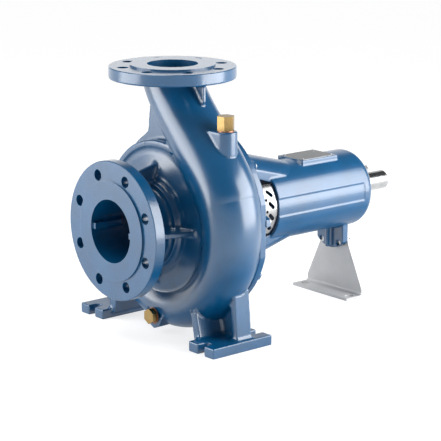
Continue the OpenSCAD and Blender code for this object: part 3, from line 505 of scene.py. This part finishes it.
def build_casing():
    """The volute casing: cast skin, and its two flanges with machined faces."""
    skin = cast_skin("volute_casing", "casing_casting", *CASING_SKIN)
    round_tube(skin)
    keep_side(skin, (SUCTION_CUT_X, 0, 0), (1, 0, 0))
    keep_side(skin, (0, 0, DISCHARGE_CUT_Z), (0, 0, -1))
    suction = welded_copy("volute_casing", "suction_flange_face")
    keep_side(suction, (SUCTION_CUT_X, 0, 0), (-1, 0, 0))
    discharge = welded_copy("volute_casing", "discharge_flange_face")
    keep_side(discharge, (0, 0, DISCHARGE_CUT_Z), (0, 0, 1))
    dress(skin, "frame", "blue_paint", "volute_casing")
    for flange in (suction, discharge):
        smooth_shading(flange, SHARP_ANGLE)
        dress(flange, "frame", "blue_paint", finish="blue_paint_machined")


def build_bracket():
    """The bearing bracket as a casting."""
    skin = cast_skin("bearing_bracket", "bracket_casting", *BRACKET_SKIN)
    dress(skin, "frame", "blue_paint", "bearing_bracket")


def dress_nodes():
    """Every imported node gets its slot's material."""
    for name, node in nodes.items():
        node.data.materials.clear()
        node.data.materials.append(materials[NODE_FINISH.get(slot_of[name], slot_of[name])])


def area_light(name, place, target, size, power):
    """A soft box that looks at a target."""
    lamp = bpy.data.lights.new(name, "AREA")
    lamp.shape = "RECTANGLE"
    lamp.size, lamp.size_y = size
    lamp.energy = power
    holder = bpy.data.objects.new(name, lamp)
    holder.location = place
    holder.rotation_euler = (Vector(target) - Vector(place)).to_track_quat("-Z", "Y").to_euler()
    holder.visible_camera = False
    bpy.context.scene.collection.objects.link(holder)


def seen_directly(tree):
    """1 for camera, glossy and transmission rays, else 0."""
    path = tree.nodes.new("ShaderNodeLightPath")
    total = path.outputs["Is Camera Ray"]
    for name in ("Is Glossy Ray", "Is Transmission Ray"):
        node = tree.nodes.new("ShaderNodeMath")
        node.operation = "MAXIMUM"
        tree.links.new(total, node.inputs[0])
        tree.links.new(path.outputs[name], node.inputs[1])
        total = node.outputs[0]
    return total


def build_world():
    """White surroundings at eye level under a dim studio ceiling, and an even soft light."""
    world = bpy.data.worlds.new("studio")
    bpy.context.scene.world = world
    world.use_nodes = True
    tree = world.node_tree
    tree.nodes.clear()
    out = tree.nodes.new("ShaderNodeOutputWorld")
    light = tree.nodes.new("ShaderNodeBackground")
    height = tree.nodes.new("ShaderNodeSeparateXYZ")
    tree.links.new(tree.nodes.new("ShaderNodeTexCoord").outputs["Generated"], height.inputs[0])
    share = ramp(tree, height.outputs["Z"], WORLD_WHITE_TO, WORLD_DIM_FROM)
    seen = mix_colour(tree, share, WHITE, shaded(WHITE, WORLD_DIM))
    tone = mix_colour(tree, seen_directly(tree), shaded(WHITE, WORLD_SOFT), seen)
    tree.links.new(tone, light.inputs["Color"])
    tree.links.new(light.outputs[0], out.inputs["Surface"])


def build_floor():
    """A pale floor that keeps the pump's shadow and is white to the eye."""
    mesh = bpy.data.meshes.new("studio_floor")
    ways = ((-1, -1), (1, -1), (1, 1), (-1, 1))
    corners = [(FLOOR_HALF * x, FLOOR_HALF * y, FOOT_Z) for x, y in ways]
    mesh.from_pydata(corners, [], [(0, 1, 2, 3)])
    floor = bpy.data.objects.new("studio_floor", mesh)
    bpy.context.scene.collection.objects.link(floor)
    material, tree, shader = node_tree("studio_floor")
    coords = tree.nodes.new("ShaderNodeTexCoord").outputs["Object"]
    grain = noise(tree, coords, 3.0)
    plain = mix_colour(tree, grain, shaded(FLOOR, 0.99), FLOOR)
    seen = mix_colour(tree, grain, shaded(FLOOR_SHADE, 0.99), FLOOR_SHADE)
    direct = seen_directly(tree)
    tree.links.new(mix_colour(tree, direct, plain, seen), shader.inputs["Base Color"])
    shader.inputs["Emission Color"].default_value = (*WHITE, 1.0)
    tree.links.new(ramp(tree, direct, 0.0, 1.0, 0.0, FLOOR_GLOW), shader.inputs["Emission Strength"])
    shader.inputs["Roughness"].default_value = 0.9
    shader.inputs["Specular IOR Level"].default_value = 0.0
    mesh.materials.append(material)


def build_lights():
    """Soft boxes at the left, the right and behind, and a wide soft overhead light."""
    for name, values in SOFT_BOXES.items():
        area_light(name, *values)
    sun = bpy.data.lights.new("overhead", "SUN")
    sun.energy = OVERHEAD_POWER
    sun.angle = math.radians(OVERHEAD_SPREAD)
    holder = bpy.data.objects.new("overhead", sun)
    holder.rotation_euler = [math.radians(turn) for turn in OVERHEAD_TURN]
    bpy.context.scene.collection.objects.link(holder)


def build_camera():
    """The photograph's camera."""
    data = bpy.data.cameras.new("camera")
    data.sensor_width = SENSOR_WIDTH
    data.lens = CAMERA_LENS
    data.clip_start, data.clip_end = CAMERA_CLIP
    camera = bpy.data.objects.new("camera", data)
    turn = Matrix.Rotation(math.radians(CAMERA_AZIMUTH), 4, "Z")
    tilt = Matrix.Rotation(math.radians(90.0 - CAMERA_ELEVATION), 4, "X")
    roll = Matrix.Rotation(math.radians(CAMERA_ROLL), 4, "Z")
    camera.matrix_world = Matrix.Translation(CAMERA_PLACE) @ turn @ tilt @ roll
    bpy.context.scene.collection.objects.link(camera)
    bpy.context.scene.camera = camera


materials = make_materials()
dress_nodes()
build_casing()
build_bracket()
build_world()
build_floor()
build_lights()
build_camera()
bpy.context.scene.view_settings.view_transform = "Standard"
